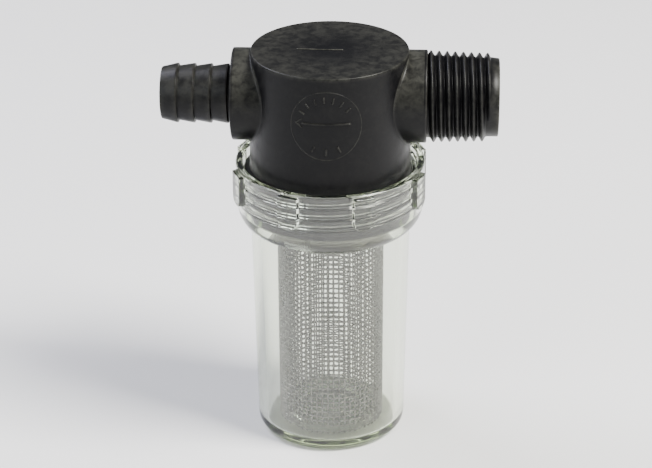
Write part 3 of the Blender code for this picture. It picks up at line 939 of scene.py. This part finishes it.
def raised_line(path, half_width, height, place, closed=False):
    """Vertices and faces of a low ridge that follows a path on the head's surface.

    Its section is a hump whose top is 0.4 of its foot's width, and whose foot is sunk
    0.15 mm. Each point is the path's plus the section's across the path's own normal,
    laid on the surface and lifted by the section's height.
    """
    path = np.asarray(path)
    if closed:
        along = np.roll(path, -1, axis=0) - np.roll(path, 1, axis=0)
    else:
        along = np.gradient(path, axis=0)
    along /= np.linalg.norm(along, axis=1, keepdims=True)
    side = np.stack([-along[:, 1], along[:, 0]], axis=1)
    offset = half_width * np.array([-1.0, -0.8, -0.4, 0.0, 0.4, 0.8, 1.0])
    lift = height * np.array([0.0, 0.35, 0.92, 1.0, 0.92, 0.35, 0.0])
    lift[[0, -1]] = -0.15 * MM
    flat = path[:, None] + offset[None, :, None] * side[:, None]
    points = place(flat[..., 0], flat[..., 1], np.broadcast_to(lift, flat.shape[:2]))
    index = numbered(*points.shape[:2])
    if closed:
        faces = [closed_quads(index)]
    else:
        faces = [open_quads(index), np.vstack([index[0], index[-1, ::-1]])]
    return points.reshape(-1, 3), faces


def joined(parts):
    """Several closed surfaces as one set of vertices and faces, each turned outwards first."""
    vertices, groups, start = [], {}, 0
    for points, faces in parts:
        for group in outward(points - points.mean(axis=0), faces):
            groups.setdefault(group.shape[1], []).append(group + start)
        vertices.append(points)
        start += len(points)
    return np.vstack(vertices), [np.vstack(g) for g in groups.values()]


def straight(start, end, steps=7):
    return np.linspace(start, end, steps)


def build_flow_mark(settings, material):
    """A raised flow arrow in a thin circle, with short spokes above and below, and the
    gate line on the head's top. The arrow points to the outlet."""

    def on_head_top(across, up, lift):
        sunk = top_sink(np.hypot(across, up), settings.sink_depth)
        return np.stack([across, up, HEAD_TOP - sunk + lift], axis=-1)

    radius, proud = settings.mark_radius, settings.mark_height
    around = full_turn(120)
    circle = radius * np.stack([np.cos(around), np.sin(around)], axis=1)
    lines = [
        raised_line(circle, 0.14 * MM, 0.14 * proud, on_head_front, True),
        raised_line(
            straight((-0.68 * radius, 0.06 * radius), (0.69 * radius, 0.06 * radius), 25),
            0.26 * MM,
            proud,
            on_head_front,
        ),
    ]
    tip = (-0.86 * radius, 0.06 * radius)
    for rise in (1.0, -1.0):
        barb_end = (-0.66 * radius, (0.06 + 0.13 * rise) * radius)
        lines.append(
            raised_line(straight(tip, barb_end), 0.2 * MM, 0.5 * proud, on_head_front)
        )
    above = [151.0, 132.0, 113.0, 94.0, 75.0, 56.0, 37.0]
    below = [-118.0, -90.0, -62.0]
    for azimuth in above + below:
        away = np.array([math.cos(math.radians(azimuth)), math.sin(math.radians(azimuth))])
        lines.append(
            raised_line(
                straight(0.68 * radius * away, 0.86 * radius * away),
                0.24 * MM,
                0.75 * proud,
                on_head_front,
            )
        )
    lines.append(
        raised_line(
            straight((-7.5 * MM, 0.2 * MM), (3.0 * MM, 0.2 * MM), 25),
            0.18 * MM,
            0.14 * MM,
            on_head_top,
        )
    )
    vertices, faces = joined(lines)
    wear_and_light = np.where(vertices[:, 2] > HEAD_TOP - 1.0 * MM, 1.0, 0.35)
    add_piece(
        "flow_mark", "head_body", "black_plastic", "head", material, vertices, faces, wear_and_light
    )


# Bowl pieces


def bowl_profile():
    """The bowl's profile from the middle of its floor, up its inside, and down its outside."""
    inner_bottom = BOWL_OUTER_BOTTOM - BOWL_WALL
    inside = rounded(
        [
            (0.0, BOWL_FLOOR, 0.0),
            (BOSS_INNER, BOWL_FLOOR, 0.2 * MM),
            (BOSS_INNER, BOSS_TOP, 0.3 * MM),
            (BOSS_OUTER, BOSS_TOP, 0.4 * MM),
            (BOSS_OUTER, BOWL_FLOOR, 0.3 * MM),
            (inner_bottom, BOWL_FLOOR, 0.9 * MM),
            (BOWL_INNER_TOP, LEDGE, 0.25 * MM),
            (BOWL_BORE, LEDGE, 0.3 * MM),
            (BOWL_BORE, BOWL_RIM - 0.6 * MM, 0.0),
        ]
    )
    shoulder = COLLAR_OUTER - COLLAR_STEP
    reach = shoulder - BOWL_OUTER_TOP + SHOULDER_TUCK
    fall = math.acos(SHOULDER_TUCK / reach)
    turn = np.linspace(0.0, fall, 22)
    out = shoulder - reach + reach * np.cos(turn)
    down = SHOULDER_TOP - SHOULDER_HEIGHT * np.sin(turn)
    curve = np.stack([out, down], axis=1)
    rim = rounded(
        [
            (BOWL_BORE, BOWL_RIM - 0.6 * MM, 0.0),
            (BOWL_BORE, BOWL_RIM, 0.4 * MM),
            (COLLAR_OUTER, BOWL_RIM, 0.45 * MM),
            (COLLAR_OUTER, COLLAR_LOWER_EDGE, 0.06 * MM),
            (shoulder, COLLAR_LOWER_EDGE - COLLAR_STEP, 0.06 * MM),
            (shoulder, SHOULDER_TOP, 0.0),
        ]
    )
    foot = rounded(
        [
            tuple(curve[-1]) + (0.0,),
            (BOWL_OUTER_BOTTOM, 0.0, FOOT_ROUND),
            (0.0, 0.0, 0.0),
        ],
        9,
    )
    lead = foot[:1] + (foot[1:2] - foot[:1]) * np.array([[0.0], [0.002], [0.006]])
    wall = np.vstack([lead, subdivided(np.vstack([lead[-1:], foot[1:]]), 5.0 * MM)[1:]])
    return inside, rim[1:], curve[1:], wall[1:]


def rib_share(angle, height):
    """1 on a grip rib's face and 0 off it, falling over RIB_EDGE.

    In the rib's own flat, the distance to a box with rounded lower corners is worked out:
    how far the point is outside the box shrunk by the corner's size, less that size.
    """
    pitch = 2.0 * np.pi / RIB_COUNT
    from_rib = (angle % pitch) - 0.5 * pitch
    across = np.abs(RIB_FACE * np.tan(from_rib))
    middle = 0.5 * (RIB_TOP + RIB_BOTTOM)
    half = 0.5 * (RIB_TOP - RIB_BOTTOM)
    corner = np.where(height < middle, RIB_LOWER_CORNER, RIB_UPPER_CORNER)
    dx = across - (RIB_HALF_WIDTH - corner)
    dz = np.abs(height - middle) - (half - corner)
    outside = np.hypot(np.maximum(dx, 0.0), np.maximum(dz, 0.0))
    distance = outside + np.minimum(np.maximum(dx, dz), 0.0) - corner
    return ramp(-distance, 0.0, RIB_EDGE), RIB_FACE / np.cos(from_rib)


def build_bowl(material):
    """The clear bowl as one closed surface, so that light bends in it as in one solid piece.

    The profile is carried round. Inside, the nut thread takes its ridge's share off the
    radius. Outside, the ribs lift the collar's radius to their flat faces. The columns
    stand closer together where a rib's rounded corners pass.
    """
    inside, rim, curve, wall = bowl_profile()
    low = int(np.argmax(inside[:, 0] > BOWL_BORE - 0.01 * MM))
    collar_start = int(np.argmax(rim[:, 1] < BOWL_RIM - 0.4 * MM))
    cup = np.vstack(
        [subdivided(inside[:low], 6.0 * MM), subdivided(inside[low - 1 :], 0.11 * MM)[1:]]
    )
    profile = np.vstack(
        [
            cup,
            subdivided(rim[:collar_start], 0.3 * MM),
            subdivided(rim[collar_start - 1 :], 0.2 * MM)[1:],
            subdivided(curve, 0.6 * MM),
            wall,
        ]
    )
    edge = np.arctan(np.linspace(0.85 * MM, RIB_HALF_WIDTH + 0.05 * MM, 15) / RIB_FACE)
    sector = np.concatenate(
        [
            -edge[::-1],
            np.linspace(-edge[0], edge[0], 5)[1:-1],
            edge,
            np.linspace(edge[-1], 2.0 * np.pi / RIB_COUNT - edge[-1], 15)[1:-1],
        ]
    )
    starts = (np.arange(RIB_COUNT) + 0.5) * (2.0 * np.pi / RIB_COUNT)
    angle = (starts[:, None] + sector[None, :]).ravel()[None, :]
    radius, height = profile[:, :1], profile[:, 1:]
    in_cup = np.arange(len(profile))[:, None] < len(cup)
    in_bore = in_cup & (radius > BOWL_BORE - 0.01 * MM)
    thread = in_bore * screw_share(height, angle, BOWL_THREAD_START)
    rib, face = rib_share(angle, height)
    rib = rib * ~in_cup * (radius > COLLAR_OUTER - 1.0 * MM)
    radius = radius - THREAD_HEIGHT * thread + (face - radius) * rib
    points = turn_about_z(radius, height, angle)
    add_piece(
        "clear_bowl", "bowl_body", "clear_plastic", "bowl", material, *pole_grid(points)
    )


def build_sealing_ring(material):
    """The flat rubber ring under the head's skirt: its section, rounded, carried round."""
    low, high = GASKET_LOW.z, GASKET_HIGH.z
    inner, outer = GASKET_INNER, GASKET_HIGH.x
    section = rounded(
        [
            (inner, 0.5 * (low + high), 0.0),
            (inner, high, 0.25 * MM),
            (outer, high, 0.35 * MM),
            (outer, low, 0.35 * MM),
            (inner, low, 0.25 * MM),
            (inner, 0.5 * (low + high), 0.0),
        ]
    )[:-1]
    angle = full_turn(GASKET_COLUMNS)[None, :]
    points = turn_about_z(section[:, :1], section[:, 1:], angle)
    add_piece(
        "sealing_ring",
        "bowl_body",
        "black_rubber",
        "bowl_gasket",
        material,
        *ring_grid(points)[:2],
    )


# Screen pieces


def cloth_radius(travel, step):
    """The rolled cloth's middle radius: it starts tucked inside by the lap, and climbs to its
    full radius over two wires once it is past the end that covers it."""
    lap = LAP_WIDTH / CLOTH_RADIUS
    return LAP_RADIUS + (CLOTH_RADIUS - LAP_RADIUS) * ramp(travel, lap, lap + 2.0 * step)


def woven_wires(settings):
    """Centre lines of the plain-woven screen: upright wires, then level ones.

    An upright wire's radius swings by half the cloth's spare thickness as a cosine of
    its height, once for two level wires, and its neighbour swings the other way. A level
    wire's radius swings as a cosine of its travel round, once for two upright wires.
    Where two wires cross, the swings are opposite, so one passes over the other.
    """
    upright, level = settings.upright_wires, settings.level_wires
    swing = 0.5 * (CLOTH_THICKNESS - settings.wire_diameter)
    step = 2.0 * np.pi / upright
    lap = LAP_WIDTH / CLOTH_RADIUS
    low, high = SCREEN_LOW.z + 0.05 * MM, SCREEN_HIGH.z - 0.05 * MM
    gap = (high - low) / level
    start = LAP_AZIMUTH - 0.5 * lap

    which = np.arange(upright + int(lap / step))
    height = np.linspace(low, high, 4 * level + 1)
    travel = (which + 0.5) * step
    sign = np.where(which % 2 == 0, 1.0, -1.0)[:, None]
    wave = np.cos(np.pi * (height - low - 0.5 * gap) / gap)
    radius = cloth_radius(travel, step)[:, None] + swing * sign * wave
    uprights = turn_about_z(radius, height[None, :], start + travel[:, None])

    which = np.arange(level)
    travel = np.linspace(0.0, 2.0 * np.pi + lap, int((2.0 * np.pi + lap) / step * 4) + 1)
    sign = np.where(which % 2 == 0, -1.0, 1.0)[:, None]
    wave = np.cos(np.pi * (travel - 0.5 * step) / step)
    radius = cloth_radius(travel, step)[None, :] + swing * sign * wave
    height = (low + (which + 0.5) * gap)[:, None]
    levels = turn_about_z(radius, height, start + travel[None, :])
    return uprights, levels


def build_woven_screen(settings, material):
    """The two sets of wires, each a round tube along its centre line."""
    for name, center in zip(("upright_wires", "level_wires"), woven_wires(settings)):
        outwards = center * np.array([1.0, 1.0, 0.0])
        outwards = outwards / np.linalg.norm(outwards, axis=-1, keepdims=True)
        wires = tube_grid(center, outwards, 0.5 * settings.wire_diameter, WIRE_SIDES)
        add_piece(
            name, "screen_body", "stainless_steel", "screen_mesh", material, *wires
        )


def build_screen_band(material):
    """The rolled strip over the screen's top edge: its thin section carried round, pinched
    inwards by a bell curve at every crimp along its lower edge."""
    outer = RING_RADIUS
    inner = outer - RING_WALL
    lip = inner - FIT - RING_LIP
    low, high = RING_LOW.z, RING_HIGH.z
    section = rounded(
        [
            (inner, low + 2.0 * MM, 0.0),
            (inner, low, 0.12 * MM),
            (outer, low, 0.15 * MM),
            (outer, high, 0.35 * MM),
            (lip, high, 0.1 * MM),
            (lip, high - RING_WALL, 0.1 * MM),
            (inner, high - RING_WALL, 0.1 * MM),
            (inner, low + 2.0 * MM, 0.0),
        ]
    )[:-1]
    section = subdivided(np.vstack([section, section[:1]]), 0.3 * MM)[:-1]
    angle = full_turn(RING_COLUMNS)[None, :]
    from_crimp = (angle * CRIMP_COUNT / (2.0 * np.pi)) % 1.0 - 0.5
    arc = from_crimp * 2.0 * np.pi / CRIMP_COUNT * outer
    pinch = near(arc, 0.0, CRIMP_HALF_WIDTH) * near(
        section[:, 1:], low + CRIMP_MIDDLE, CRIMP_HALF_HEIGHT
    )
    radius = section[:, :1] - CRIMP_DEPTH * pinch
    points = turn_about_z(radius, section[:, 1:], angle)
    add_piece(
        "screen_band",
        "screen_body",
        "stainless_steel",
        "screen_top_ring",
        material,
        *ring_grid(points)[:2],
    )


# Stage


def add_light(name, place, target, size, power, color):
    data = bpy.data.lights.new(name, "AREA")
    data.shape = "RECTANGLE"
    data.size, data.size_y = size
    data.energy = power
    data.color = color
    light = bpy.data.objects.new(name, data)
    bpy.context.scene.collection.objects.link(light)
    light.location = place
    aim = Vector(target) - Vector(place)
    light.rotation_mode = "QUATERNION"
    light.rotation_quaternion = aim.to_track_quat("-Z", "Y")
    return light


def add_camera():
    """The camera stands in front, a little to the right, and looks down on the strainer."""
    yaw, pitch = math.radians(CAMERA_YAW), math.radians(CAMERA_PITCH)
    roll = math.radians(CAMERA_ROLL)
    forward = Vector(
        (-math.sin(yaw) * math.cos(pitch), math.cos(yaw) * math.cos(pitch), -math.sin(pitch))
    )
    right = forward.cross(Vector((0.0, 0.0, 1.0))).normalized()
    up = right.cross(forward)
    right, up = (
        right * math.cos(roll) + up * math.sin(roll),
        up * math.cos(roll) - right * math.sin(roll),
    )
    data = bpy.data.cameras.new("camera")
    data.sensor_width = 36.0
    data.lens = CAMERA_LENS
    data.clip_start, data.clip_end = 0.01, 20.0
    camera = bpy.data.objects.new("camera", data)
    bpy.context.scene.collection.objects.link(camera)
    turn = Matrix((right, up, -forward)).transposed().to_4x4()
    camera.matrix_world = Matrix.Translation(CAMERA_PLACE) @ turn
    bpy.context.scene.camera = camera


def build_floor(settings):
    """A flat round floor just under the foot: rings of points at growing radii."""
    radius = np.array([0.0, 0.2, 0.6, 1.5, 4.0])[:, None]
    angle = full_turn(64)[None, :]
    points = turn_about_z(radius, BOWL_LOW.z - 0.05 * MM, angle)
    index = numbered(*points.shape[:2])
    fan = np.stack([index[0] * 0, index[1], np.roll(index[1], -1)], axis=-1)
    quads = open_quads(index[1:])
    mesh = bpy.data.meshes.new("floor")
    mesh.from_pydata(points.reshape(-1, 3).tolist(), [], quads.tolist() + fan.tolist())
    mesh.materials.append(pale_floor(settings))
    floor = bpy.data.objects.new("floor", mesh)
    bpy.context.scene.collection.objects.link(floor)


def build_sky():
    world = bpy.data.worlds.new("studio")
    world.use_nodes = True
    background = world.node_tree.nodes["Background"]
    background.inputs["Color"].default_value = (0.93, 0.95, 1.0, 1.0)
    background.inputs["Strength"].default_value = 0.24
    bpy.context.scene.world = world


# Operators


class STRAINER_OT_head(bpy.types.Operator):
    """Build the moulded head: shell, inlet pipe, outlet barb and raised marks"""

    bl_idname = "strainer.head"
    bl_label = "Head"

    def execute(self, context):
        settings = context.scene.strainer_head
        material = satin_black_plastic(settings)
        build_head_shell(settings, material)
        build_inlet_pipe(settings, material)
        build_outlet_barb(settings, material)
        build_flow_mark(settings, material)
        return {"FINISHED"}


class STRAINER_OT_bowl(bpy.types.Operator):
    """Build the clear screwed bowl"""

    bl_idname = "strainer.bowl"
    bl_label = "Bowl"

    def execute(self, context):
        build_bowl(clear_plastic(context.scene.strainer_bowl))
        return {"FINISHED"}


class STRAINER_OT_sealing_ring(bpy.types.Operator):
    """Build the rubber sealing ring"""

    bl_idname = "strainer.sealing_ring"
    bl_label = "Sealing ring"

    def execute(self, context):
        build_sealing_ring(black_rubber(context.scene.strainer_bowl))
        return {"FINISHED"}


class STRAINER_OT_screen(bpy.types.Operator):
    """Build the woven wire screen and the band round its top"""

    bl_idname = "strainer.screen"
    bl_label = "Screen"

    def execute(self, context):
        settings = context.scene.strainer_screen
        material = drawn_steel(settings)
        build_woven_screen(settings, material)
        build_screen_band(material)
        return {"FINISHED"}


class STRAINER_OT_stage(bpy.types.Operator):
    """Build the floor, the lights and the camera"""

    bl_idname = "strainer.stage"
    bl_label = "Stage"

    def execute(self, context):
        settings = context.scene.strainer_stage
        build_floor(settings)
        build_sky()
        lights = (
            ("key", (0.55, -0.20, 0.75), (0.35, 0.35), settings.key_power, (1.0, 0.98, 0.94)),
            ("fill", (-0.60, -0.55, 0.45), (0.6, 0.6), settings.fill_power, (0.92, 0.96, 1.0)),
            ("back", (-0.55, 0.30, 0.70), (0.5, 0.4), settings.back_power, (0.86, 0.86, 1.0)),
        )
        for name, place, size, power, color in lights:
            add_light(name, place, (0.0, 0.0, 0.05), size, power, color)
        add_camera()
        return {"FINISHED"}


class STRAINER_PT_panel(bpy.types.Panel):
    bl_idname = "STRAINER_PT_panel"
    bl_label = "Basket strainer"
    bl_space_type = "VIEW_3D"
    bl_region_type = "UI"
    bl_category = "Strainer"

    def draw(self, context):
        scene = context.scene
        groups = (
            (scene.strainer_head, (STRAINER_OT_head,)),
            (scene.strainer_bowl, (STRAINER_OT_bowl, STRAINER_OT_sealing_ring)),
            (scene.strainer_screen, (STRAINER_OT_screen,)),
            (scene.strainer_stage, (STRAINER_OT_stage,)),
        )
        for settings, operators in groups:
            box = self.layout.box()
            for key in settings.__annotations__:
                box.prop(settings, key)
            for operator in operators:
                box.operator(operator.bl_idname)


CLASSES = (
    StrainerHeadSettings,
    StrainerBowlSettings,
    StrainerScreenSettings,
    StrainerStageSettings,
    STRAINER_OT_head,
    STRAINER_OT_bowl,
    STRAINER_OT_sealing_ring,
    STRAINER_OT_screen,
    STRAINER_OT_stage,
    STRAINER_PT_panel,
)

SETTINGS = {
    "strainer_head": StrainerHeadSettings,
    "strainer_bowl": StrainerBowlSettings,
    "strainer_screen": StrainerScreenSettings,
    "strainer_stage": StrainerStageSettings,
}


def register():
    for item in CLASSES:
        bpy.utils.register_class(item)
    for name, group in SETTINGS.items():
        setattr(bpy.types.Scene, name, bpy.props.PointerProperty(type=group))


def unregister():
    for name in SETTINGS:
        delattr(bpy.types.Scene, name)
    for item in reversed(CLASSES):
        bpy.utils.unregister_class(item)


def main():
    register()
    bpy.ops.strainer.head()
    bpy.ops.strainer.bowl()
    bpy.ops.strainer.sealing_ring()
    bpy.ops.strainer.screen()
    bpy.ops.strainer.stage()


if __name__ == "__main__":
    main()
